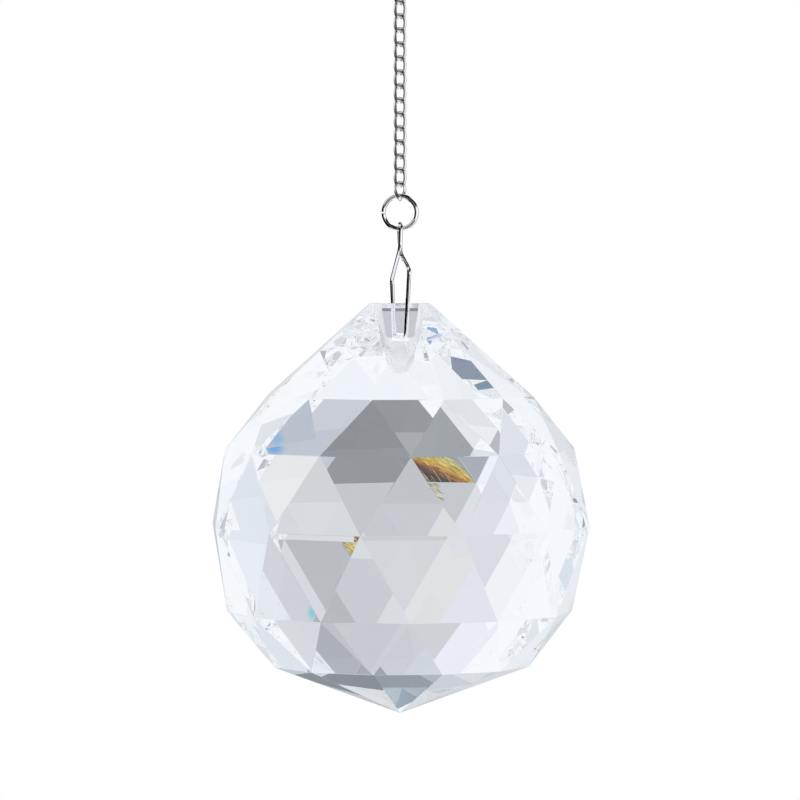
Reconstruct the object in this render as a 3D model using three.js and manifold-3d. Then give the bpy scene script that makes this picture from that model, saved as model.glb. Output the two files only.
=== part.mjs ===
// A crystal suncatcher: a faceted glass ball with a tapered neck, hung by a bent wire clip,
// a jump ring and a twisted curb chain from a plain top ring.
// Millimetres, +Z up, front towards -Y. The origin is where the top ring bears on its hook.
import * as THREE from "three";
import { ConvexGeometry } from "three/addons/geometries/ConvexGeometry.js";
import { mergeVertices } from "three/addons/utils/BufferGeometryUtils.js";
import Module from "manifold-3d";

// ---- driving dimensions ----
const clearance = 0.04; // left between pieces that bear on each other

// Faceted ball: rows of vertices, each row turned half a facet from the next.
const facetsAround = 12;
const facetTurn = -11.5; // degrees from the front to the first vertex of the top row
const vertexRows = [
  { radius: 20.9, height: 20.1 },
  { radius: 27.1, height: 11.75 },
  { radius: 29.8, height: 0 }, // the girdle, from which heights are measured
  { radius: 26.75, height: -13.35 },
  { radius: 20.3, height: -21.65 },
];
const tableRadius = 4.8; // the small flat on top
const tableHeight = 34.3;
const culetDepth = 29.2; // the bottom point

// Pockets pressed into the front and back of the neck, and the pin hole through the web between them.
const webHalf = 1.5;
const pocketReach = 17; // how far out the pocket's cutter runs
const pocketTop = tableHeight + 1;
const pocketInner = { floor: 28.95, floorHalf: 2.2, topHalf: 3.2, corner: 0.5 };
const pocketOuter = { floor: 23.66, floorHalf: 2.15, topHalf: 7.4, corner: 2 };
const cornerSteps = 4;
const holeRadius = 1.25;
const holeBelowTable = 5.8;
const holeSides = 20;

// Wire clip: two legs with inturned pins, crossing below a narrow eye.
const clipWire = 0.7;
const clipTurn = 17.3; // degrees from the hole's axis, seen from above
const clipHeight = 17.4; // from the pins to the top of the eye, on the wire's centreline
const pinAboveHole = 0.6; // the pins bear on the upper side of the hole
const pinTip = 0.6;
const legFoot = 3; // from the clip's middle to each leg, at the pins
const frontShoulder = { reach: 4.8, height: 10.5 };
const backShoulder = { reach: 4.3, height: 8.9 };
const crossing = 12.4;
const eyeHalf = 1.25;
const eyeBelly = 13.7;
const crossOffset = 0.38; // each strand's distance from the clip's plane where they cross
const clipSteps = 84;

// Jump ring, cut at its left side, in the plane that faces the front.
const jumpWire = 0.7;
const jumpRadius = 2.55; // wire centreline
const jumpGap = 4; // degrees
const jumpStep = 0.16; // how far the two cut ends stand apart, front to back
const jumpSteps = 36;

// Curb chain: twisted oval links.
const linkCount = 17;
const linkWire = 0.5;
const linkHalfWidth = 0.75; // wire centreline
const linkHalfLength = 1.35;
const linkTwist = 45; // degrees that each end is turned from the middle
const endTwist = 90; // at the two rings, so that the end link's loop stands across the ring
const linkSteps = 24;

// Top ring.
const topWire = 0.8;
const topRadius = 5.6; // wire centreline
const topSteps = 40;

const wireSides = 8;

// ---- levels, from the top ring's bearing point down to the ball's girdle ----
const topCentre = topWire / 2 - topRadius;
const firstLink =
  topCentre - topRadius + (topWire + linkWire) / 2 + clearance - linkHalfLength;
const linkPitch = 2 * linkHalfLength - linkWire - clearance;
const lastLink = firstLink - (linkCount - 1) * linkPitch;
const jumpCentre =
  lastLink - linkHalfLength + (linkWire + jumpWire) / 2 + clearance - jumpRadius;
const pinLevel =
  jumpCentre - jumpRadius + (jumpWire + clipWire) / 2 + clearance - clipHeight;
const holeHeight = tableHeight - holeBelowTable;
const girdleLevel = pinLevel - pinAboveHole - holeHeight;

const wasm = await Module();
wasm.setup();

const radians = THREE.MathUtils.degToRad;
const point = (x, y, z) => new THREE.Vector3(x, y, z);

// ---- solids for cutting ----
function toSolid(geometry) {
  const bare = geometry.clone();
  bare.deleteAttribute("normal");
  bare.deleteAttribute("uv");
  const merged = mergeVertices(bare, 1e-4);
  return new wasm.Manifold(
    new wasm.Mesh({
      numProp: 3,
      vertProperties: merged.attributes.position.array,
      triVerts: new Uint32Array(merged.index.array),
    }),
  );
}

function fromSolid(solid) {
  const mesh = solid.getMesh();
  const indexed = new THREE.BufferGeometry()
    .setAttribute("position", new THREE.BufferAttribute(mesh.vertProperties, 3))
    .setIndex(new THREE.BufferAttribute(mesh.triVerts, 1));
  const flat = indexed.toNonIndexed();
  flat.computeVertexNormals();
  return flat;
}

// ---- crystal ball ----
// One level of vertices; turn is in facet widths.
function vertexRow(radius, height, turn) {
  return Array.from({ length: facetsAround }, (_, k) => {
    const angle = radians(facetTurn) + ((k + turn) * 2 * Math.PI) / facetsAround;
    return point(radius * Math.sin(angle), -radius * Math.cos(angle), height);
  });
}

function facetedBall() {
  const corners = [];
  const facet = (...points) => corners.push(...points);
  const next = (k) => (k + 1) % facetsAround;

  const table = vertexRow(tableRadius, tableHeight, 0);
  const rows = vertexRows.map(({ radius, height }, i) =>
    vertexRow(radius, height, (i % 2) / 2),
  );
  const tableCentre = point(0, 0, tableHeight);
  const culet = point(0, 0, -culetDepth);
  const lowest = rows[rows.length - 1];

  for (let k = 0; k < facetsAround; k++) {
    const right = next(k);
    facet(tableCentre, table[k], table[right]);
    facet(table[k], rows[0][k], rows[0][right]);
    facet(table[k], rows[0][right], table[right]);
    for (let i = 0; i + 1 < rows.length; i++) {
      const [upper, lower] = [rows[i], rows[i + 1]];
      // The lower vertices on the left and right of upper vertex k.
      const below = i % 2 === 0 ? k : right;
      const belowLeft = i % 2 === 0 ? (k + facetsAround - 1) % facetsAround : k;
      facet(upper[k], lower[below], upper[right]);
      facet(upper[k], lower[belowLeft], lower[below]);
    }
    facet(lowest[k], culet, lowest[right]);
  }
  return new THREE.BufferGeometry().setFromPoints(corners);
}

// A pocket's outline at one depth: open at the top, tapering down to a floor with round corners.
function pocketSection(depth, { floor, floorHalf, topHalf, corner }) {
  const outline = [];
  for (const side of [-1, 1]) {
    outline.push(point(side * topHalf, -depth, pocketTop));
    for (let i = 0; i <= cornerSteps; i++) {
      const angle = (i * Math.PI) / 2 / cornerSteps;
      const x = floorHalf - corner + corner * Math.cos(angle);
      outline.push(point(side * x, -depth, floor + corner - corner * Math.sin(angle)));
    }
  }
  return outline;
}

function crystalBall() {
  const pocket = new ConvexGeometry([
    ...pocketSection(webHalf, pocketInner),
    ...pocketSection(pocketReach, pocketOuter),
  ]);
  const hole = new THREE.CylinderGeometry(
    holeRadius,
    holeRadius,
    2 * pocketReach,
    holeSides,
  ).translate(0, 0, holeHeight);
  const cut = toSolid(facetedBall())
    .subtract(toSolid(pocket))
    .subtract(toSolid(pocket.clone().rotateZ(Math.PI)))
    .subtract(toSolid(hole));
  return fromSolid(cut);
}

// ---- wires ----
// A straight-sided wire route with a bend at each inner corner.
function bentRoute(corners) {
  const route = new THREE.CurvePath();
  let from = corners[0].at;
  corners.slice(1, -1).forEach(({ at, bend }, i) => {
    const before = corners[i].at.clone().sub(at);
    const after = corners[i + 2].at.clone().sub(at);
    const start = at.clone().add(before.setLength(bend));
    const end = at.clone().add(after.setLength(bend));
    route.add(new THREE.LineCurve3(from, start));
    route.add(new THREE.QuadraticBezierCurve3(start, at, end));
    from = end;
  });
  route.add(new THREE.LineCurve3(from, corners[corners.length - 1].at));
  return route;
}

function openWire(route, wire, steps) {
  const section = new THREE.Shape().absarc(0, 0, wire / 2, 0, 2 * Math.PI);
  return new THREE.ExtrudeGeometry(section, {
    steps,
    curveSegments: wireSides / 2,
    bevelEnabled: false,
    extrudePath: route,
  });
}

// Half of the clip, from the pin up to the crossing. side is +1 for the front leg, -1 for the back one.
function clipLeg(side, shoulder) {
  return [
    { at: point(0, -side * pinTip, 0) },
    { at: point(0, -side * legFoot, 0), bend: 0.7 },
    { at: point(0, -side * shoulder.reach, shoulder.height), bend: 0.8 },
    { at: point(side * crossOffset, 0, crossing), bend: 0.8 },
    { at: point(side * crossOffset, side * eyeHalf, eyeBelly), bend: 0.8 },
  ];
}

function wireClip() {
  const crown = [-1, 1].map((side) => ({
    at: point(-side * 0.5 * crossOffset, -side * eyeHalf * 0.9, clipHeight),
    bend: 0.9,
  }));
  const route = bentRoute([
    ...clipLeg(1, frontShoulder),
    ...crown,
    ...clipLeg(-1, backShoulder).reverse(),
  ]);
  return openWire(route, clipWire, clipSteps).rotateZ(radians(clipTurn));
}

class SplitRing extends THREE.Curve {
  getPoint(t, target = new THREE.Vector3()) {
    const angle = Math.PI + radians(jumpGap) * (0.5 - t) + t * 2 * Math.PI;
    return target.set(
      jumpRadius * Math.cos(angle),
      jumpStep * (t - 0.5),
      jumpRadius * Math.sin(angle),
    );
  }
}

// A torus drawn out into an oval, with its two ends turned apart about the long axis.
function twistedLink(bottomTwist, topTwist) {
  const link = new THREE.TorusGeometry(
    linkHalfWidth,
    linkWire / 2,
    wireSides,
    linkSteps,
  ).rotateX(Math.PI / 2);
  const { position, uv } = link.attributes;
  const up = point(0, 0, 1);
  const corner = point(0, 0, 0);
  for (let i = 0; i < position.count; i++) {
    corner.fromBufferAttribute(position, i);
    // Sections above the middle move up and those below it move down, each as a whole.
    const rise = 3 * Math.sin(uv.getX(i) * 2 * Math.PI);
    corner.z += THREE.MathUtils.clamp(rise, -1, 1) * (linkHalfLength - linkHalfWidth);
    const share = (corner.z / linkHalfLength + 1) / 2;
    const twist = THREE.MathUtils.lerp(bottomTwist, topTwist, share);
    corner.applyAxisAngle(up, -radians(twist));
    position.setXYZ(i, ...corner);
  }
  return link;
}

// ---- finishes ----
const crystal = new THREE.MeshStandardMaterial({
  color: 0xf1f5f8,
  roughness: 0.02,
  metalness: 0,
  transparent: true,
  opacity: 0.35,
  flatShading: true,
});
const silver = new THREE.MeshStandardMaterial({
  color: 0xd4d4d6,
  roughness: 0.15,
  metalness: 1,
});

// ---- assembly ----
const suncatcher = new THREE.Group();

function place(name, geometry, material, height) {
  const mesh = new THREE.Mesh(geometry, material);
  mesh.name = name;
  mesh.position.z = height;
  suncatcher.add(mesh);
}

place("crystal_ball", crystalBall(), crystal, girdleLevel);
place("wire_clip", wireClip(), silver, pinLevel);
place("jump_ring", openWire(new SplitRing(), jumpWire, jumpSteps), silver, jumpCentre);
for (let i = 0; i < linkCount; i++) {
  const bottomTwist = i === linkCount - 1 ? -endTwist : -linkTwist;
  const topTwist = i === 0 ? endTwist : linkTwist;
  const name = `chain_link_${String(i + 1).padStart(2, "0")}`;
  place(name, twistedLink(bottomTwist, topTwist), silver, firstLink - i * linkPitch);
}
const topRing = new THREE.TorusGeometry(topRadius, topWire / 2, wireSides, topSteps);
place("top_ring", topRing.rotateX(Math.PI / 2), silver, topCentre);

export default suncatcher;
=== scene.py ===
import math

import bmesh
import bpy
from mathutils import Matrix, Vector, noise


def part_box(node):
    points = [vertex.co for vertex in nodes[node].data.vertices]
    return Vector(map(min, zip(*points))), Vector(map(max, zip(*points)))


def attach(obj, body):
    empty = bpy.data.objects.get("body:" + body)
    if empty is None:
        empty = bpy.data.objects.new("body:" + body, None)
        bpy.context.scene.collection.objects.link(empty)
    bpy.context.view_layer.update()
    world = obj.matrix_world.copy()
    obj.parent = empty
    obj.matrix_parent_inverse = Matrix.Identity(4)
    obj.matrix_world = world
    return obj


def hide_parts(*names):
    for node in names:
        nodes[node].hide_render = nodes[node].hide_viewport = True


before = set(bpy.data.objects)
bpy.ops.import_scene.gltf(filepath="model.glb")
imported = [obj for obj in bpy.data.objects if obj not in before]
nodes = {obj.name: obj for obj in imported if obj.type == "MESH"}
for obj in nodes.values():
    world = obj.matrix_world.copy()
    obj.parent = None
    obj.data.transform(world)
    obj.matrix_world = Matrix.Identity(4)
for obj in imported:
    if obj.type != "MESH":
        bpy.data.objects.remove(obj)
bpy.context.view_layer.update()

mm = 0.001
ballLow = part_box("crystal_ball")[0]
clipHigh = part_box("wire_clip")[1]
jumpLow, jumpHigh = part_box("jump_ring")
topLow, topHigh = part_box("top_ring")
print("frame loaded:", len(nodes), "nodes")


class Sock:
    def __init__(self, graph, socket):
        self.graph = graph
        self.socket = socket

    def maths(self, operation, *values):
        return self.graph.node("ShaderNodeMath", {"operation": operation}, dict(enumerate(values)))

    def __add__(self, other):
        return self.maths("ADD", self, other)

    def __radd__(self, other):
        return self.maths("ADD", other, self)

    def __sub__(self, other):
        return self.maths("SUBTRACT", self, other)

    def __rsub__(self, other):
        return self.maths("SUBTRACT", other, self)

    def __mul__(self, other):
        return self.maths("MULTIPLY", self, other)

    def __rmul__(self, other):
        return self.maths("MULTIPLY", other, self)

    def __truediv__(self, other):
        return self.maths("DIVIDE", self, other)

    def __pow__(self, other):
        return self.maths("POWER", self, other)

    def __abs__(self):
        return self.maths("ABSOLUTE", self)

    def __getitem__(self, name):
        return Sock(self.graph, self.socket.node.outputs[name])


class Graph:
    def __init__(self, owner):
        owner.use_nodes = True
        self.tree = owner.node_tree
        self.tree.nodes.clear()

    # a node of any type: its settings first, then the values or links of its sockets
    def node(self, kind, settings=None, inputs=None, output=0):
        made = self.tree.nodes.new(kind)
        for name, value in (settings or {}).items():
            if name == "stops":
                ramp = made.color_ramp
                while len(ramp.elements) > 1:
                    ramp.elements.remove(ramp.elements[-1])
                ramp.elements[0].position = value[0][0]
                ramp.elements[0].color = value[0][1]
                for place, colour in value[1:]:
                    ramp.elements.new(place).color = colour
            else:
                setattr(made, name, value)
        for name, value in (inputs or {}).items():
            if isinstance(value, Sock):
                self.tree.links.new(value.socket, made.inputs[name])
            else:
                made.inputs[name].default_value = value
        return Sock(self, made.outputs[output]) if len(made.outputs) else made

    def ramp(self, value, low, high, smooth=True):
        kind = "SMOOTHSTEP" if smooth else "LINEAR"
        return self.node(
            "ShaderNodeMapRange",
            {"interpolation_type": kind},
            {"Value": value, "From Min": low, "From Max": high},
        )

    def mixColour(self, factor, first, second, blend="MIX"):
        mix = self.node(
            "ShaderNodeMix",
            {"data_type": "RGBA", "blend_type": blend},
            {0: factor, 6: first, 7: second},
            output=2,
        )
        return mix

    def objectPlace(self, scale=(1, 1, 1)):
        where = self.node("ShaderNodeTexCoord", output=3)
        return self.node("ShaderNodeMapping", None, {"Vector": where, "Scale": scale})

    def noise(self, place, scale, detail=3.0, roughness=0.5):
        values = {"Vector": place, "Scale": scale, "Detail": detail, "Roughness": roughness}
        return self.node("ShaderNodeTexNoise", None, values)


def principled(name, plain):
    made = bpy.data.materials.new(name)
    graph = Graph(made)
    shader = graph.node("ShaderNodeBsdfPrincipled", None, plain)
    graph.node("ShaderNodeOutputMaterial", None, {"Surface": shader})
    return made, graph, shader.socket.node


def feed(graph, shader, name, value):
    graph.tree.links.new(value.socket, shader.inputs[name])


pocket = {
    "web": 1.5,  # half the wall that is left between the two pockets
    "reach": 17,
    "top": 35.3,
    "inner": {"floor": 28.95, "floorHalf": 2.2, "topHalf": 3.2, "corner": 0.5},
    "outer": {"floor": 23.66, "floorHalf": 2.15, "topHalf": 7.4, "corner": 2.0},
    "roundSteps": 10,
    "shoulder": (33.1, 0.5),  # the web thins from this level up, to this half thickness at the top
    "ridges": 26,
    "chatter": 0.012,
}
glassLook = {
    "ior": 1.52,
    "tint": (0.987, 0.993, 1.0, 1),
    "cord": (0.982, 0.988, 0.995, 1),
    "webRoughness": 0.06,
    "wallRoughness": 0.2,
    "grindDepth": 0.00001,
}


def polishedCrystal():
    material, graph, shader = principled(
        "polishedCrystal",
        {"IOR": glassLook["ior"], "Transmission Weight": 1.0, "Roughness": 0.0},
    )
    # faint cords of slightly greyer glass
    cord = graph.ramp(graph.noise(graph.objectPlace((1, 1, 0.3)), 90.0, 3.0), 0.35, 0.75)
    feed(graph, shader, "Base Color", graph.mixColour(cord, glassLook["tint"], glassLook["cord"]))
    return material


def groundCrystal():
    material, graph, shader = principled(
        "groundCrystal",
        {"IOR": glassLook["ior"], "Transmission Weight": 1.0, "Base Color": (0.98, 0.985, 1.0, 1)},
    )
    place = graph.objectPlace()
    # drag lines left by the wheel, drawn out up and down the pocket
    drag = graph.noise(graph.objectPlace((1, 1, 0.12)), 1900.0, 2.0, 0.6)
    frost = graph.noise(place, 700.0, 3.0, 0.6)
    # the web between the pockets is polished, their walls are left matt
    depth = abs(graph.node("ShaderNodeSeparateXYZ", None, {0: place})["Y"])
    wall = graph.ramp(depth, (pocket["web"] + 0.1) * mm, (pocket["web"] + 0.5) * mm)
    low, high = glassLook["webRoughness"], glassLook["wallRoughness"]
    rough = low + (high - low) * wall * (0.7 + frost * 0.6)
    feed(graph, shader, "Roughness", rough)
    bump = graph.node(
        "ShaderNodeBump",
        None,
        {"Strength": 0.8, "Distance": glassLook["grindDepth"], "Height": drag},
    )
    feed(graph, shader, "Normal", bump)
    return material


metalLook = {
    "colour": (0.97, 0.97, 0.975, 1),
    "dull": (0.5, 0.49, 0.48, 1),
    "roughness": (0.03, 0.1),
}


def silverPlate(name, grain, wear):
    material, graph, shader = principled(name, {"Metallic": 1.0, "Specular IOR Level": 0.5})
    place = graph.objectPlace()
    cloud = graph.noise(place, grain, 4.0)
    pits = graph.noise(place, grain * 7, 2.0, 0.7)
    spots = graph.ramp(pits, 0.66, 0.78) * wear
    colour = graph.mixColour(spots, metalLook["colour"], metalLook["dull"])
    feed(graph, shader, "Base Color", colour)
    low, high = metalLook["roughness"]
    feed(graph, shader, "Roughness", low + (high - low) * graph.ramp(cloud, 0.4, 0.8) + spots * 0.2)
    bump = graph.node(
        "ShaderNodeBump",
        None,
        {"Strength": 0.25, "Distance": 0.00002, "Height": cloud * 0.6 + pits * 0.4},
    )
    feed(graph, shader, "Normal", bump)
    return material


polished = polishedCrystal()
ground = groundCrystal()
clipSilver = silverPlate("clipSilver", 900.0, 0.5)
ringSilver = silverPlate("ringSilver", 800.0, 0.6)
chainSilver = silverPlate("chainSilver", 1100.0, 0.8)
topSilver = silverPlate("topSilver", 700.0, 0.6)
print("materials made")


def addObject(name, mesh, *materials):
    made = bpy.data.objects.new(name, mesh)
    bpy.context.scene.collection.objects.link(made)
    for material in materials:
        mesh.materials.append(material)
    return made


def settled(made):
    # the evaluated object becomes a plain mesh, and its modifiers go
    bpy.context.view_layer.update()
    graph = bpy.context.evaluated_depsgraph_get()
    mesh = bpy.data.meshes.new_from_object(made.evaluated_get(graph))
    made.modifiers.clear()
    made.data = mesh
    return made


def finishPiece(made, slot, *replaced):
    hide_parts(*replaced)
    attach(made, "root")


ball = {
    "facets": 12,
    "turn": -11.5,  # degrees to the first corner of the top row
    "rows": [(20.9, 20.1), (27.1, 11.75), (29.8, 0), (26.75, -13.35), (20.3, -21.65)],
    "table": (4.8, 34.3),
    "culet": 29.2,
    "edge": 0.05,  # the polished-off width of every edge
}
girdle = ballLow.z + ball["culet"] * mm

hole = {"radius": 1.25, "below": 5.8, "sides": 48, "chatter": 0.008}


def facetedBall():
    build = bmesh.new()

    def row(radius, height, turn):
        made = []
        for k in range(ball["facets"]):
            angle = math.radians(ball["turn"]) + (k + turn) * 2 * math.pi / ball["facets"]
            place = (radius * math.sin(angle), -radius * math.cos(angle), height)
            made.append(build.verts.new(Vector(place) * mm + Vector((0, 0, girdle))))
        return made

    table = row(*ball["table"], 0)
    rows = [row(*size, (i % 2) / 2) for i, size in enumerate(ball["rows"])]
    culet = build.verts.new((0, 0, ballLow.z))
    build.faces.new(table)
    count = ball["facets"]
    for k in range(count):
        right = (k + 1) % count
        build.faces.new((table[k], rows[0][k], rows[0][right], table[right]))
        for i in range(len(rows) - 1):
            upper, lower = rows[i], rows[i + 1]
            under = k if i % 2 == 0 else right
            underLeft = (k - 1) % count if i % 2 == 0 else k
            build.faces.new((upper[k], lower[under], upper[right]))
            build.faces.new((upper[k], lower[underLeft], lower[under]))
        build.faces.new((rows[-1][k], culet, rows[-1][right]))
    bmesh.ops.bevel(
        build,
        geom=build.edges[:],
        offset=ball["edge"] * mm,
        segments=2,
        profile=0.5,
        affect="EDGES",
    )
    bmesh.ops.recalc_face_normals(build, faces=build.faces[:])
    mesh = bpy.data.meshes.new("crystalBall")
    build.to_mesh(mesh)
    build.free()
    return mesh


def pocketOutline(depth, shape):
    outline = []
    steps = pocket["roundSteps"]
    shoulder, thin = pocket["shoulder"]
    start = shape["floor"] + shape["corner"]
    share = (pocket["top"] - shoulder) / (pocket["top"] - start)
    shoulderHalf = shape["topHalf"] + (shape["floorHalf"] - shape["topHalf"]) * share
    lip = thin if depth == pocket["web"] else depth
    for side in (-1, 1):
        arc = [
            Vector((side * shape["topHalf"], -lip, pocket["top"])),
            Vector((side * shoulderHalf, -depth, shoulder)),
        ]
        for i in range(steps + 1):
            angle = i * math.pi / 2 / steps
            x = shape["floorHalf"] - shape["corner"] * (1 - math.cos(angle))
            z = shape["floor"] + shape["corner"] * (1 - math.sin(angle))
            arc.append(Vector((side * x, -depth, z)))
        outline += arc if side < 0 else arc[::-1]
    return outline


def pocketCutter(name, turned):
    # lofted from the web outwards, with the wheel's ridges running along it
    build = bmesh.new()
    near = pocketOutline(pocket["web"], pocket["inner"])
    far = pocketOutline(pocket["reach"], pocket["outer"])
    levels = pocket["ridges"]
    loops = []
    for level in range(levels + 1):
        share = level / levels
        loop = []
        for a, b in zip(near, far):
            place = a.lerp(b, share)
            if 0 < level:
                roll = noise.noise(Vector((place.x * 2.1, place.y * 0.5, place.z * 2.1)))
                out = Vector((place.x, 0, place.z - pocket["top"])).normalized()
                place += out * roll * pocket["chatter"]
            place = Vector((place.x * turned, place.y * turned, place.z))
            loop.append(build.verts.new(place * mm + Vector((0, 0, girdle))))
        loops.append(loop)
    size = len(near)
    for first, second in zip(loops, loops[1:]):
        for i in range(size):
            j = (i + 1) % size
            build.faces.new((first[i], first[j], second[j], second[i]))
    for cap in (loops[0], loops[-1]):
        for i in range(size // 2 - 1):
            build.faces.new((cap[i], cap[i + 1], cap[-2 - i], cap[-1 - i]))
    bmesh.ops.triangulate(build, faces=[f for f in build.faces if len(f.verts) == 4])
    bmesh.ops.recalc_face_normals(build, faces=build.faces[:])
    mesh = bpy.data.meshes.new(name)
    build.to_mesh(mesh)
    build.free()
    return mesh


def holeCutter():
    build = bmesh.new()
    loops = []
    for step in range(25):
        y = -3 + step * 0.25
        loop = []
        for i in range(hole["sides"]):
            angle = i * 2 * math.pi / hole["sides"]
            turn = Vector((math.cos(angle), y, math.sin(angle)))
            radius = hole["radius"] + hole["chatter"] * noise.noise(turn * 2.3)
            radius += 0.25 * max(0, abs(y) - pocket["web"] + 0.25)  # chipped out at its mouths
            place = (radius * turn.x, y, ball["table"][1] - hole["below"] + radius * turn.z)
            loop.append(build.verts.new(Vector(place) * mm + Vector((0, 0, girdle))))
        loops.append(loop)
    for first, second in zip(loops, loops[1:]):
        for i in range(hole["sides"]):
            j = (i + 1) % hole["sides"]
            build.faces.new((first[i], first[j], second[j], second[i]))
    build.faces.new(loops[0])
    build.faces.new(loops[-1])
    bmesh.ops.recalc_face_normals(build, faces=build.faces[:])
    mesh = bpy.data.meshes.new("holeCutter")
    build.to_mesh(mesh)
    build.free()
    return mesh


def crystalBall():
    made = addObject("faceted_crystal", facetedBall(), polished, ground)
    cutters = [
        pocketCutter("frontPocket", 1),
        pocketCutter("backPocket", -1),
        holeCutter(),
    ]
    for mesh in cutters:
        cutter = addObject(mesh.name, mesh, polished, ground)
        mesh.polygons.foreach_set("material_index", [1] * len(mesh.polygons))
        cut = made.modifiers.new("cut", "BOOLEAN")
        cut.operation = "DIFFERENCE"
        cut.solver = "EXACT"
        cut.object = cutter
        settled(made)
        bpy.data.objects.remove(cutter)
    build = bmesh.new()
    build.from_mesh(made.data)
    bmesh.ops.remove_doubles(build, verts=build.verts[:], dist=1e-6)
    bmesh.ops.recalc_face_normals(build, faces=build.faces[:])
    build.to_mesh(made.data)
    openEdges = sum(1 for edge in build.edges if len(edge.link_faces) != 2)
    print("crystal faces:", len(build.faces), "open edges:", openEdges)
    build.free()
    return made


crystal = crystalBall()
finishPiece(crystal, "crystal", "crystal_ball")
print("crystal ball made")


def sweptWire(name, route, radius, material, closed=False, sides=6):
    curve = bpy.data.curves.new(name, "CURVE")
    curve.dimensions = "3D"
    curve.bevel_depth = radius
    curve.bevel_resolution = sides
    curve.use_fill_caps = not closed
    line = curve.splines.new("POLY")
    line.points.add(len(route) - 1)
    for point, place in zip(line.points, route):
        point.co = (*place, 1)
    line.use_cyclic_u = closed
    drawn = bpy.data.objects.new(name, curve)
    bpy.context.scene.collection.objects.link(drawn)
    bpy.context.view_layer.update()
    graph = bpy.context.evaluated_depsgraph_get()
    mesh = bpy.data.meshes.new_from_object(drawn.evaluated_get(graph))
    bpy.data.objects.remove(drawn)
    build = bmesh.new()
    build.from_mesh(mesh)
    bmesh.ops.remove_doubles(build, verts=build.verts[:], dist=1e-7)
    bmesh.ops.recalc_face_normals(build, faces=build.faces[:])
    for face in build.faces:
        face.smooth = len(face.verts) < 5
    build.to_mesh(mesh)
    build.free()
    mesh.materials.clear()
    return addObject(name, mesh, material)


clip = {
    "wire": 0.7,
    "turn": 17.3,
    "height": 17.4,
    "tip": 0.6,
    "foot": 3.0,
    "front": (4.8, 10.5),
    "back": (4.3, 8.9),
    "crossing": 12.4,
    "cross": 0.38,
    "eye": (1.25, 13.7),
    "bendSteps": 14,
}
pinLevel = clipHigh.z - (clip["height"] + clip["wire"] / 2) * mm


def clipRoute():
    def leg(side, reach, height):
        eyeHalf, eyeLevel = clip["eye"]
        return [
            (Vector((0, -side * clip["tip"], 0)), 0),
            (Vector((0, -side * clip["foot"], 0)), 0.7),
            (Vector((0, -side * reach, height)), 0.8),
            (Vector((side * clip["cross"], 0, clip["crossing"])), 0.8),
            (Vector((side * clip["cross"], side * eyeHalf, eyeLevel)), 0.8),
        ]

    eyeHalf = clip["eye"][0]
    crown = [
        (Vector((-side * 0.5 * clip["cross"], -side * 0.9 * eyeHalf, clip["height"])), 0.9)
        for side in (-1, 1)
    ]
    corners = leg(1, *clip["front"]) + crown + leg(-1, *clip["back"])[::-1]
    route = [corners[0][0]]
    steps = clip["bendSteps"]
    for before, (at, bend), after in zip(corners, corners[1:], corners[2:]):
        start = at + (before[0] - at).normalized() * bend
        end = at + (after[0] - at).normalized() * bend
        for i in range(steps + 1):
            t = i / steps
            route.append(start.lerp(at, t).lerp(at.lerp(end, t), t))
    route.append(corners[-1][0])
    spin = Matrix.Rotation(math.radians(clip["turn"]), 3, "Z")
    return [spin @ place * mm + Vector((0, 0, pinLevel)) for place in route]


def evenly(route, gap):
    # points at an even spacing along the route
    made = [route[0]]
    for a, b in zip(route, route[1:]):
        count = max(1, round((b - a).length / gap))
        made += [a.lerp(b, (i + 1) / count) for i in range(count)]
    return made


clipWire = sweptWire("bent_clip", evenly(clipRoute(), 0.25 * mm), clip["wire"] / 2 * mm, clipSilver)
finishPiece(clipWire, "clip_wire", "wire_clip")

jump = {"wire": 0.7, "gap": 4, "step": 0.16, "points": 160}
jumpCentre = (jumpLow.z + jumpHigh.z) / 2
jumpRadius = (jumpHigh.z - jumpLow.z) / 2 - jump["wire"] / 2 * mm


def jumpRoute():
    route = []
    for i in range(jump["points"] + 1):
        t = i / jump["points"]
        angle = math.pi + math.radians(jump["gap"]) * (0.5 - t) + t * 2 * math.pi
        x, z = jumpRadius * math.cos(angle), jumpRadius * math.sin(angle)
        route.append(Vector((x, jump["step"] * (t - 0.5) * mm, jumpCentre + z)))
    return route


jumpRing = sweptWire("split_ring", jumpRoute(), jump["wire"] / 2 * mm, ringSilver)
finishPiece(jumpRing, "ring_wire", "jump_ring")

top = {"wire": 0.8, "points": 220}
topCentre = (topLow.z + topHigh.z) / 2
topRadius = (topHigh.z - topLow.z) / 2 - top["wire"] / 2 * mm
topRoute = [
    Vector((topRadius * math.cos(a), 0, topCentre + topRadius * math.sin(a)))
    for a in (2 * math.pi * i / top["points"] for i in range(top["points"]))
]
topRing = sweptWire("plain_top_ring", topRoute, top["wire"] / 2 * mm, topSilver, closed=True)
finishPiece(topRing, "top_ring_wire", "top_ring")
print("clip and rings made")


chain = {
    "wire": 0.5,
    "halfWidth": 0.75,
    "halfLength": 1.35,
    "twist": 45,
    "endTwist": 90,
    "steps": 56,
    "sides": 14,
}
linkNames = sorted(name for name in nodes if name.startswith("chain_link"))
linkCentres = [sum(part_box(name), Vector()).z / 2 for name in linkNames]


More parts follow.
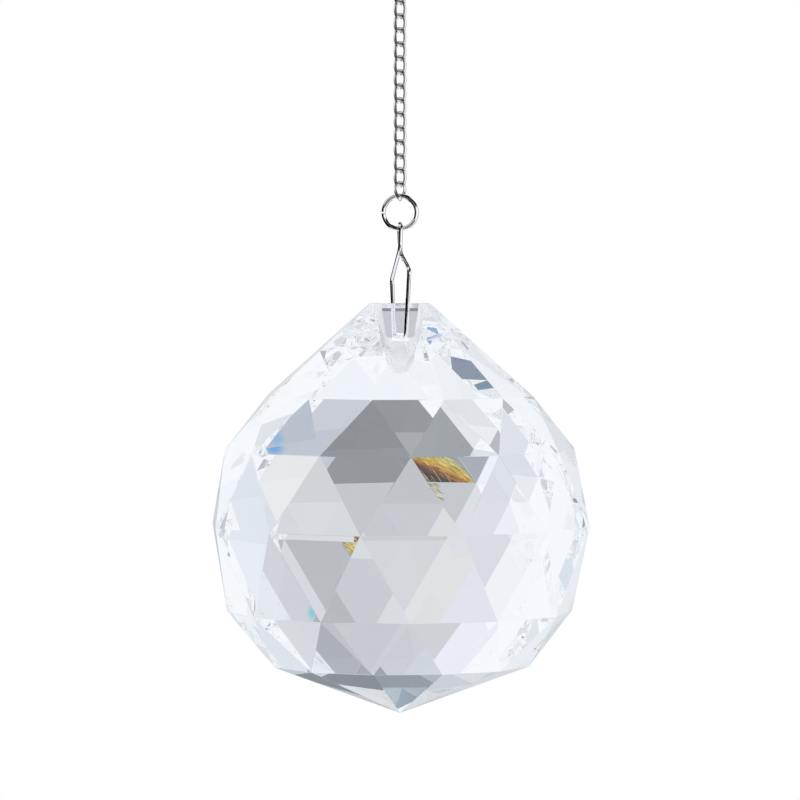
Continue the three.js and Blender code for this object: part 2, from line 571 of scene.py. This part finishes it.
def chainTree():
    tree = bpy.data.node_groups.new("curbChain", "GeometryNodeTree")
    sockets = tree.interface
    sockets.new_socket("Geometry", in_out="OUTPUT", socket_type="NodeSocketGeometry")
    inputs = {
        "Links": "Int",
        "Pitch": "Float",
        "Top Level": "Float",
        "Half Width": "Float",
        "Half Length": "Float",
        "Wire Radius": "Float",
        "Lower Twist": "Float",
        "Upper Twist": "Float",
        "Steps": "Int",
        "Sides": "Int",
        "Finish": "Material",
    }
    for name, kind in inputs.items():
        sockets.new_socket(name, in_out="INPUT", socket_type="NodeSocket" + kind)
    given = tree.nodes.new("NodeGroupInput")

    def add(kind, settings=None, values=None):
        made = tree.nodes.new(kind)
        for name, value in (settings or {}).items():
            setattr(made, name, value)
        for name, value in (values or {}).items():
            if isinstance(value, bpy.types.NodeSocket):
                tree.links.new(value, made.inputs[name])
            else:
                made.inputs[name].default_value = value
        return made.outputs[0] if len(made.outputs) else made

    def maths(operation, *values):
        return add("ShaderNodeMath", {"operation": operation}, dict(enumerate(values)))

    # a unit circle of points, whose angle gives each point's place on the oval
    circle = add("GeometryNodeCurvePrimitiveCircle", None, {"Resolution": given.outputs["Steps"]})
    share = maths("DIVIDE", add("GeometryNodeInputIndex"), given.outputs["Steps"])
    angle = maths("MULTIPLY", share, 2 * math.pi)
    rise = add(
        "ShaderNodeClamp",
        None,
        {"Value": maths("MULTIPLY", maths("SINE", angle), 3.0), "Min": -1.0, "Max": 1.0},
    )
    across = maths("MULTIPLY", maths("COSINE", angle), given.outputs["Half Width"])
    straight = maths("SUBTRACT", given.outputs["Half Length"], given.outputs["Half Width"])
    arc = maths("MULTIPLY", maths("SINE", angle), given.outputs["Half Width"])
    along = maths("ADD", arc, maths("MULTIPLY", rise, straight))
    twist = add(
        "ShaderNodeMapRange",
        None,
        {
            "Value": maths("DIVIDE", along, given.outputs["Half Length"]),
            "From Min": -1.0,
            "From Max": 1.0,
            "To Min": given.outputs["Lower Twist"],
            "To Max": given.outputs["Upper Twist"],
        },
    )
    place = add(
        "ShaderNodeCombineXYZ",
        None,
        {
            "X": maths("MULTIPLY", across, maths("COSINE", twist)),
            "Y": maths("MULTIPLY", maths("MULTIPLY", across, maths("SINE", twist)), -1.0),
            "Z": along,
        },
    )
    oval = add("GeometryNodeSetPosition", None, {"Geometry": circle, "Position": place})
    section = add(
        "GeometryNodeCurvePrimitiveCircle",
        None,
        {"Resolution": given.outputs["Sides"], "Radius": given.outputs["Wire Radius"]},
    )
    link = add("GeometryNodeCurveToMesh", None, {"Curve": oval, "Profile Curve": section})
    smooth = add("GeometryNodeSetShadeSmooth", None, {"Geometry": link})
    row = add(
        "GeometryNodeMeshLine",
        None,
        {
            "Count": given.outputs["Links"],
            "Start Location": add("ShaderNodeCombineXYZ", None, {"Z": given.outputs["Top Level"]}),
            "Offset": add(
                "ShaderNodeCombineXYZ",
                None,
                {"Z": maths("MULTIPLY", given.outputs["Pitch"], -1.0)},
            ),
        },
    )
    hung = add("GeometryNodeInstanceOnPoints", None, {"Points": row, "Instance": smooth})
    real = add("GeometryNodeRealizeInstances", None, {"Geometry": hung})
    done = add(
        "GeometryNodeSetMaterial",
        None,
        {"Geometry": real, "Material": given.outputs["Finish"]},
    )
    out = tree.nodes.new("NodeGroupOutput")
    tree.links.new(done, out.inputs[0])
    return tree


def chainPiece(name, tree, members, lower, upper):
    made = addObject(name, bpy.data.meshes.new(name))
    levels = [linkCentres[i] for i in members]
    pitch = (levels[0] - levels[-1]) / max(1, len(levels) - 1)
    values = {
        "Links": len(levels),
        "Pitch": pitch,
        "Top Level": levels[0],
        "Half Width": chain["halfWidth"] * mm,
        "Half Length": chain["halfLength"] * mm,
        "Wire Radius": chain["wire"] / 2 * mm,
        "Lower Twist": math.radians(-lower),
        "Upper Twist": math.radians(upper),
        "Steps": chain["steps"],
        "Sides": chain["sides"],
        "Finish": chainSilver,
    }
    modifier = made.modifiers.new("curbChain", "NODES")
    modifier.node_group = tree
    for item in tree.interface.items_tree:
        if item.in_out == "INPUT":
            modifier[item.identifier] = values[item.name]
    settled(made)
    finishPiece(made, "chain_wire", *[linkNames[i] for i in members])
    return made


links = len(linkNames)
linkTree = chainTree()
chainPiece("chain_top_link", linkTree, [0], chain["twist"], chain["endTwist"])
chainPiece("curb_chain", linkTree, range(1, links - 1), chain["twist"], chain["twist"])
chainPiece("chain_last_link", linkTree, [links - 1], chain["endTwist"], chain["twist"])
print("chain made:", links, "links")


studio = {
    "wall": (0.93, 0.96, 1.0),
    "floorDrop": 0.16,  # below the ball's lowest point
    # soft panels round the ball, each over the ones before: azimuth and elevation of its middle
    # in degrees from straight behind, half width, half height, softness, colour
    "panels": [
        ((15, 2), (37, 38), 0.25, (0.70, 0.745, 0.81)),
        ((-27, -24), (9, 11), 0.2, (0.71, 0.745, 0.81)),
        ((4, 5), (26, 33), 0.2, (0.68, 0.70, 0.735)),
        ((-12, 40), (8, 17), 0.25, (0.60, 0.64, 0.71)),
        ((24, 14), (10, 17), 0.15, (0.65, 0.67, 0.71)),
        ((0, -8), (13, 6.5), 0.25, (0.53, 0.55, 0.58)),
        ((8, 21), (5.5, 16), 0.2, (0.55, 0.57, 0.61)),
        ((17.5, 17), (5.5, 16), 0.15, (0.43, 0.45, 0.48)),
        ((21, -25), (10, 9.8), 0.06, (0.50, 0.54, 0.61)),
        ((28, -12), (5, 8.5), 0.04, (0.81, 0.82, 0.83)),
        ((0, -24), (14, 11), 0.03, (0.248, 0.262, 0.282)),
        ((8, -26.5), (4, 3.5), 0.2, (0.215, 0.23, 0.25)),
        ((-9, -24), (5, 10), 0.1, (0.31, 0.33, 0.355)),
        ((0.3, -19.6), (2.5, 2.5), 0.1, (0.36, 0.375, 0.395)),
        ((-18.2, -24.4), (1.8, 2.6), 0.1, (0.34, 0.37, 0.42)),
        ((7, 46), (12, 11.5), 0.1, (0.09, 0.13, 0.17)),
        ((14.5, 44), (3, 3), 0.3, (0.23, 0.26, 0.30)),
        ((0, 36.3), (10, 2.6), 0.2, (0.27, 0.30, 0.34)),
        ((4, 63), (9, 6), 0.1, (0.32, 0.42, 0.50)),
        ((4.9, 62.2), (1.0, 4), 0.9, (0.08, 0.14, 0.21)),
        ((-98, 3), (17, 30), 0.2, (0.66, 0.69, 0.73)),
        ((-84, -22), (7, 11), 0.05, (0.30, 0.32, 0.34)),
        ((-112, -6), (6, 14), 0.15, (0.48, 0.50, 0.53)),
        ((-100, 42), (11, 9), 0.1, (0.26, 0.34, 0.42)),
        ((-103, -52), (10, 9), 0.1, (0.36, 0.40, 0.44)),
        ((98, 5), (15, 28), 0.2, (0.66, 0.69, 0.73)),
        ((107, -23), (8, 9), 0.05, (0.30, 0.32, 0.34)),
        ((86, 14), (5, 15), 0.15, (0.46, 0.48, 0.52)),
        ((100, 44), (11, 8), 0.1, (0.26, 0.34, 0.42)),
        ((178, 2), (15, 24), 0.2, (0.72, 0.75, 0.80)),
        ((-172, -19), (5, 6), 0.05, (0.34, 0.36, 0.38)),
        ((171, 16), (4, 8), 0.1, (0.44, 0.46, 0.50)),
        ((-152.1, -27.55), (1.1, 1.1), 0.3, (0.13, 0.18, 0.27)),
        ((-23.1, -17.5), (1.1, 1.1), 0.3, (0.44, 0.45, 0.48)),
        ((0, 5), (4, 4), 0.3, (0.65, 0.66, 0.69)),
        ((-8, 8), (3.5, 7), 0.3, (0.745, 0.745, 0.745)),
        ((-16, 2), (3.5, 8), 0.3, (0.715, 0.735, 0.78)),
        ((16, -12), (3, 3), 0.3, (0.62, 0.63, 0.66)),
        ((17, 27), (3, 4), 0.3, (0.38, 0.40, 0.44)),
        ((27, -29.5), (3, 2.5), 0.2, (0.44, 0.49, 0.56)),
        ((25.5, 40.1), (2.2, 2.2), 0.3, (0.13, 0.22, 0.30)),
        ((160, 40), (3, 3), 0.3, (0.10, 0.25, 0.53)),
        ((-160, 11.4), (3, 3), 0.3, (0.60, 0.68, 0.74)),
        ((-18, -34), (4, 3), 0.2, (0.745, 0.755, 0.79)),
        ((44, 36), (5, 5), 0.3, (0.68, 0.73, 0.80)),
        ((0, 25), (4, 4), 0.3, (0.58, 0.60, 0.64)),
        ((-17, 28), (3, 3), 0.3, (0.82, 0.84, 0.93)),
        ((39, 8), (4, 5), 0.3, (0.79, 0.83, 0.90)),
        ((38, -3.5), (5, 4), 0.3, (0.73, 0.78, 0.85)),
        ((17, -32.5), (4, 3), 0.3, (0.56, 0.59, 0.65)),
        ((16, 6), (3, 3), 0.3, (0.455, 0.475, 0.505)),
        ((-32, -19), (2.2, 3), 0.2, (0.85, 0.88, 0.95)),
        ((25, -9), (4, 4), 0.3, (0.84, 0.85, 0.86)),
        ((-17, 15), (4, 3), 0.3, (0.75, 0.76, 0.84)),
        ((0, -2), (4, 2.2), 0.3, (0.58, 0.59, 0.63)),
        ((8, 10), (2.5, 3), 0.3, (0.58, 0.60, 0.64)),
        ((-8, 21), (3, 4), 0.3, (0.60, 0.61, 0.64)),
        ((-12, 46), (4, 4), 0.3, (0.77, 0.81, 0.90)),
        ((35.7, -27), (3, 3), 0.3, (0.71, 0.75, 0.79)),
        ((6.6, 33.5), (1.6, 1.4), 0.3, (0.33, 0.35, 0.38)),
        ((32, 44), (4.5, 4), 0.3, (0.22, 0.28, 0.33)),
        ((33, 51.6), (2.5, 2.5), 0.3, (0.22, 0.28, 0.33)),
        ((13, 32.8), (1.5, 1.5), 0.3, (0.26, 0.30, 0.34)),
        ((-175, 43), (4, 2.5), 0.3, (0.10, 0.16, 0.25)),
        ((-166, 50.4), (2, 2), 0.3, (0.10, 0.16, 0.25)),
        ((-16, -40.3), (2.5, 2.5), 0.3, (0.86, 0.89, 0.92)),
        ((-25.8, -9.7), (2.5, 2.5), 0.3, (0.79, 0.82, 0.87)),
        ((-30, -33), (1.3, 1.3), 0.3, (0.15, 0.32, 0.58)),
        ((-83.5, -69.6), (5, 2), 0.3, (0.22, 0.40, 0.62)),
        ((158.6, 10.3), (1.5, 1.5), 0.3, (0.20, 0.38, 0.60)),
        ((167.5, 39), (2, 2), 0.3, (0.14, 0.30, 0.55)),
    ],
    # what metal and gloss mirror: clock angle round the view (0 straight up, 90 to the right) and
    # turn from the camera to straight behind, half spans, colour
    "mirrored": [
        ((90, 122), (38, 24), (0.14, 0.14, 0.145)),
        ((-45, 37), (32, 28), (0.12, 0.12, 0.125)),
        ((140, 20), (27, 26), (0.03, 0.03, 0.032)),
        ((125, 125), (25, 25), (0.06, 0.06, 0.065)),
        ((-15, 136), (50, 36), (0.005, 0.005, 0.006)),
        ((32, 45), (37, 56), (0.005, 0.005, 0.006)),
        ((-103, 69), (38, 61), (0.005, 0.005, 0.006)),
        ((-145, 75), (19, 76), (0.005, 0.005, 0.006)),
        ((-168, 28), (14, 34), (0.005, 0.005, 0.006)),
    ],
    "mirroredWall": (1.04, 1.04, 1.05),
    "mirroredSoftness": 5,  # degrees to each side of a box's edge
}


def studioWorld():
    world = bpy.data.worlds.new("studioWorld")
    bpy.context.scene.world = world
    graph = Graph(world)
    direction = graph.node("ShaderNodeTexCoord", output=0)
    parts = graph.node("ShaderNodeSeparateXYZ", None, {0: direction})
    x, y, z = parts, parts["Y"], parts["Z"]
    degrees = 180 / math.pi
    azimuth = graph.node("ShaderNodeMath", {"operation": "ARCTAN2"}, {0: x, 1: y}) * degrees
    elevation = graph.node("ShaderNodeMath", {"operation": "ARCSINE"}, {0: z}) * degrees

    tone = graph.node("ShaderNodeRGB")
    tone.socket.default_value = (*studio["wall"], 1)
    for (turn, rise), (wide, high), soft, colour in studio["panels"]:
        reach = ((azimuth - turn) / wide) ** 2.0 + ((elevation - rise) / high) ** 2.0
        mask = 1 - graph.ramp(reach ** 0.5, 1 - soft, 1 + soft)
        tone = graph.mixColour(mask, tone, (*colour, 1))
    room = graph.node("ShaderNodeBackground", None, {"Color": tone, "Strength": 1.0})

    clock = graph.node("ShaderNodeMath", {"operation": "ARCTAN2"}, {0: x, 1: z}) * degrees
    turned = graph.node("ShaderNodeMath", {"operation": "ARCCOSINE"}, {0: 0 - y}) * degrees
    tone = graph.node("ShaderNodeRGB")
    tone.socket.default_value = (*studio["mirroredWall"], 1)
    soft = studio["mirroredSoftness"]
    for (hour, reach), (wide, deep), colour in studio["mirrored"]:
        across = 1 - graph.ramp(abs(clock - hour), wide - soft, wide + soft)
        away = 1 - graph.ramp(abs(turned - reach), deep - soft, deep + soft)
        tone = graph.mixColour(across * away, tone, (*colour, 1))
    mirrored = graph.node("ShaderNodeBackground", None, {"Color": tone, "Strength": 1.0})

    white = graph.node("ShaderNodeBackground", None, {"Color": (1, 1, 1, 1), "Strength": 1.0})
    path = graph.node("ShaderNodeLightPath")
    # the crystal's own gloss is perfectly sharp, so this leaves the metal's
    bounced = path["Is Glossy Ray"] * (1 - path["Is Transmission Ray"])
    bounced = bounced * (1 - path["Is Singular Ray"])
    shown = graph.node("ShaderNodeMixShader", None, {0: bounced, 1: room, 2: mirrored})
    shown = graph.node("ShaderNodeMixShader", None, {0: path["Is Camera Ray"], 1: shown, 2: white})
    graph.node("ShaderNodeOutputWorld", None, {"Surface": shown})


studioWorld()


def stageCard(name, centre, facing, size):
    build = bmesh.new()
    bmesh.ops.create_grid(build, x_segments=1, y_segments=1, size=0.5)
    mesh = bpy.data.meshes.new(name)
    build.to_mesh(mesh)
    build.free()
    material = bpy.data.materials.new(name)
    graph = Graph(material)
    card = addObject(name, mesh, material)
    turn = Vector(facing).to_track_quat("Z", "Y").to_matrix().to_4x4()
    card.matrix_world = Matrix.Translation(centre) @ turn @ Matrix.Diagonal((*size, 1, 1))
    card.visible_camera = False
    card.visible_shadow = False
    card.visible_diffuse = False
    return card, graph


ballCentre = Vector((0, 0, girdle))

# a black card in the front pocket, mirrored only by the wire beside it
def pocketFlag():
    place = (-0.0009, -0.006, pinLevel + 0.0025)
    flag, graph = stageCard("pocketFlag", place, (1, 0, 0), (0.009, 0.0068))
    black = graph.node("ShaderNodeEmission", None, {"Strength": 0.0})
    graph.node("ShaderNodeOutputMaterial", None, {"Surface": black})
    flag.visible_transmission = False


pocketFlag()

# scraps of straw far behind the ball, each caught by one facet: its middle, its size, how far its
# colours are shifted from brown towards pale, and the slanting line past which it thins out
straw = {
    "strawWide": ((-0.1325, 1.03, -0.3046), (0.021, 0.0106), -1.3, (0.725, 0.69, 5.5)),
    "strawTail": ((-0.1316, 1.03, -0.1413), (0.007, 0.006), 5.2, (0.9, 0.3, 0.9)),
    "strawUpper": ((0.2912, 1.03, -0.0556), (0.0026, 0.003), -2.6, (0.8, 0.6, 1.6)),
    "strawLower": ((0.2897, 1.03, 0.1085), (0.0046, 0.0070), 0.2, (-0.8, -0.6, 0.2)),
}
strawLook = {
    "slant": 24,
    "threads": 57,
    "shades": [
        (0.07, (0.035, 0.004, 0.002, 1)),
        (0.20, (0.15, 0.035, 0.01, 1)),
        (0.30, (0.46, 0.16, 0.012, 1)),
        (0.44, (0.74, 0.43, 0.035, 1)),
        (0.61, (0.70, 0.56, 0.07, 1)),
        (0.75, (0.72, 0.64, 0.22, 1)),
        (0.92, (0.60, 0.60, 0.40, 1)),
    ],
}


def strawCard(name, place, size, shift, edge):
    card, graph = stageCard(name, ballCentre + Vector(place), (0, -1, 0), size)
    card.visible_glossy = False
    where = graph.node("ShaderNodeTexCoord", output=3)
    # millimetres to the right and up, the seed shifted from card to card
    spread = (size[0] / mm, size[1] / mm, 1)
    flat = graph.node("ShaderNodeMapping", None, {"Vector": where, "Scale": spread})
    parts = graph.node("ShaderNodeSeparateXYZ", None, {0: flat})
    x, y = parts, parts["Y"]

    def streaks(angle, along, across, detail):
        turn = {"Vector": flat, "Rotation": (0, 0, math.radians(angle))}
        turned = graph.node("ShaderNodeMapping", None, turn)
        stretch = {"Vector": turned, "Scale": (along, across, 1), "Location": (shift, 0, 0)}
        return graph.noise(graph.node("ShaderNodeMapping", None, stretch), 1.0, detail, 0.6)

    fibre = streaks(strawLook["slant"], 0.14, 4.2, 3.0)
    gaps = streaks(strawLook["slant"] + 6, 0.22, 6.0, 2.0)
    threads = streaks(strawLook["threads"], 0.08, 3.4, 1.0)
    slant = math.radians(strawLook["slant"])
    height = y * math.cos(slant) + x * math.sin(slant) + shift + (fibre - 0.5) * 6.0
    stops = {"stops": strawLook["shades"]}
    shade = graph.node("ShaderNodeValToRGB", stops, {0: height * 0.1 + 0.5})
    bright = 0.16 + graph.ramp(gaps, 0.42, 0.54) * 0.94
    pale = strawLook["shades"][-2][1]
    shade = graph.mixColour(graph.ramp(threads, 0.58, 0.64) * 0.75, shade, pale)
    glow = graph.node("ShaderNodeEmission", None, {"Color": shade, "Strength": bright})
    clear = graph.node("ShaderNodeBsdfTransparent")
    line = x * edge[0] + y * edge[1] + (gaps - 0.5) * 4.0
    thin = graph.ramp(line, edge[2] - 0.7, edge[2] + 0.7)
    shown = graph.node("ShaderNodeMixShader", None, {0: thin, 1: glow, 2: clear})
    graph.node("ShaderNodeOutputMaterial", None, {"Surface": shown})


for name, shape in straw.items():
    strawCard(name, *shape)

# scraps of coloured gel with soft edges: middle, size, colour
gels = {
    "gelLeftLow": ((0.1720, 0.43, -0.1482), (0.0072, 0.0052), (0.13, 0.36, 0.72, 1)),
    "gelLeftHigh": ((0.1964, 0.43, -0.2553), (0.0058, 0.0058), (0.24, 0.42, 0.66, 1)),
    "gelCyan": ((0.1987, 0.43, 0.0832), (0.0034, 0.0052), (0.26, 0.62, 0.74, 1)),
}


def gelCard(name, place, size, colour):
    facing = (-Vector(place)).normalized()
    card, graph = stageCard(name, ballCentre + Vector(place), facing, size)
    card.visible_glossy = False
    where = graph.node("ShaderNodeTexCoord", output=3)
    apart = graph.node("ShaderNodeVectorMath", {"operation": "LENGTH"}, {0: where}, output=1)
    glow = graph.node("ShaderNodeEmission", None, {"Color": colour, "Strength": 1.0})
    clear = graph.node("ShaderNodeBsdfTransparent")
    fade = graph.ramp(apart, 0.05, 0.5)
    shown = graph.node("ShaderNodeMixShader", None, {0: fade, 1: glow, 2: clear})
    graph.node("ShaderNodeOutputMaterial", None, {"Surface": shown})


for name, shape in gels.items():
    gelCard(name, *shape)


def floorPiece():
    build = bmesh.new()
    bmesh.ops.create_circle(build, cap_ends=True, segments=96, radius=0.75)
    drop = Vector((0, 0, ballLow.z - studio["floorDrop"]))
    bmesh.ops.translate(build, vec=drop, verts=build.verts)
    mesh = bpy.data.meshes.new("paleFloor")
    build.to_mesh(mesh)
    build.free()
    material, graph, shader = principled("palePaper", {"Roughness": 0.6, "Specular IOR Level": 0.2})
    fibre = graph.noise(graph.objectPlace(), 220.0, 5.0)
    light, dark = (0.86, 0.87, 0.88, 1), (0.82, 0.83, 0.84, 1)
    feed(graph, shader, "Base Color", graph.mixColour(graph.ramp(fibre, 0.3, 0.7), light, dark))
    made = addObject("paleFloor", mesh, material)
    made.visible_transmission = False
    made.visible_glossy = False


floorPiece()


def softBox(name, place, size, power):
    light = bpy.data.lights.new(name, "AREA")
    light.shape = "RECTANGLE"
    light.size, light.size_y = size
    light.energy = power
    made = bpy.data.objects.new(name, light)
    bpy.context.scene.collection.objects.link(made)
    made.location = ballCentre + Vector(place)
    made.rotation_euler = (-Vector(place)).to_track_quat("-Z", "Y").to_euler()
    made.visible_camera = False
    made.visible_transmission = False
    made.visible_glossy = False


softBox("softBoxRight", (0.8, -0.5, 0.5), (0.5, 0.7), 6.0)
softBox("softBoxLeft", (-0.9, -0.3, 0.4), (0.4, 0.6), 3.0)

view = {
    "distance": 0.9,
    "elevation": 3.4,
    "lens": 261.6,
    "aimUp": 1.23,  # degrees that the camera looks above the ball's girdle
}


def addCamera():
    data = bpy.data.cameras.new("camera")
    data.sensor_width = 36
    data.lens = view["lens"]
    data.clip_start, data.clip_end = 0.05, 20
    made = bpy.data.objects.new("camera", data)
    bpy.context.scene.collection.objects.link(made)
    rise = math.radians(view["elevation"])
    made.location = ballCentre + Vector((0, -math.cos(rise), math.sin(rise))) * view["distance"]
    made.rotation_euler = (math.radians(90 - view["elevation"] + view["aimUp"]), 0, 0)
    bpy.context.scene.camera = made


addCamera()
scene = bpy.context.scene
scene.view_settings.view_transform = "Standard"
scene.cycles.max_bounces = 96
scene.cycles.transmission_bounces = 96
scene.cycles.glossy_bounces = 96
scene.cycles.caustics_refractive = True
scene.cycles.caustics_reflective = True
print("studio made")
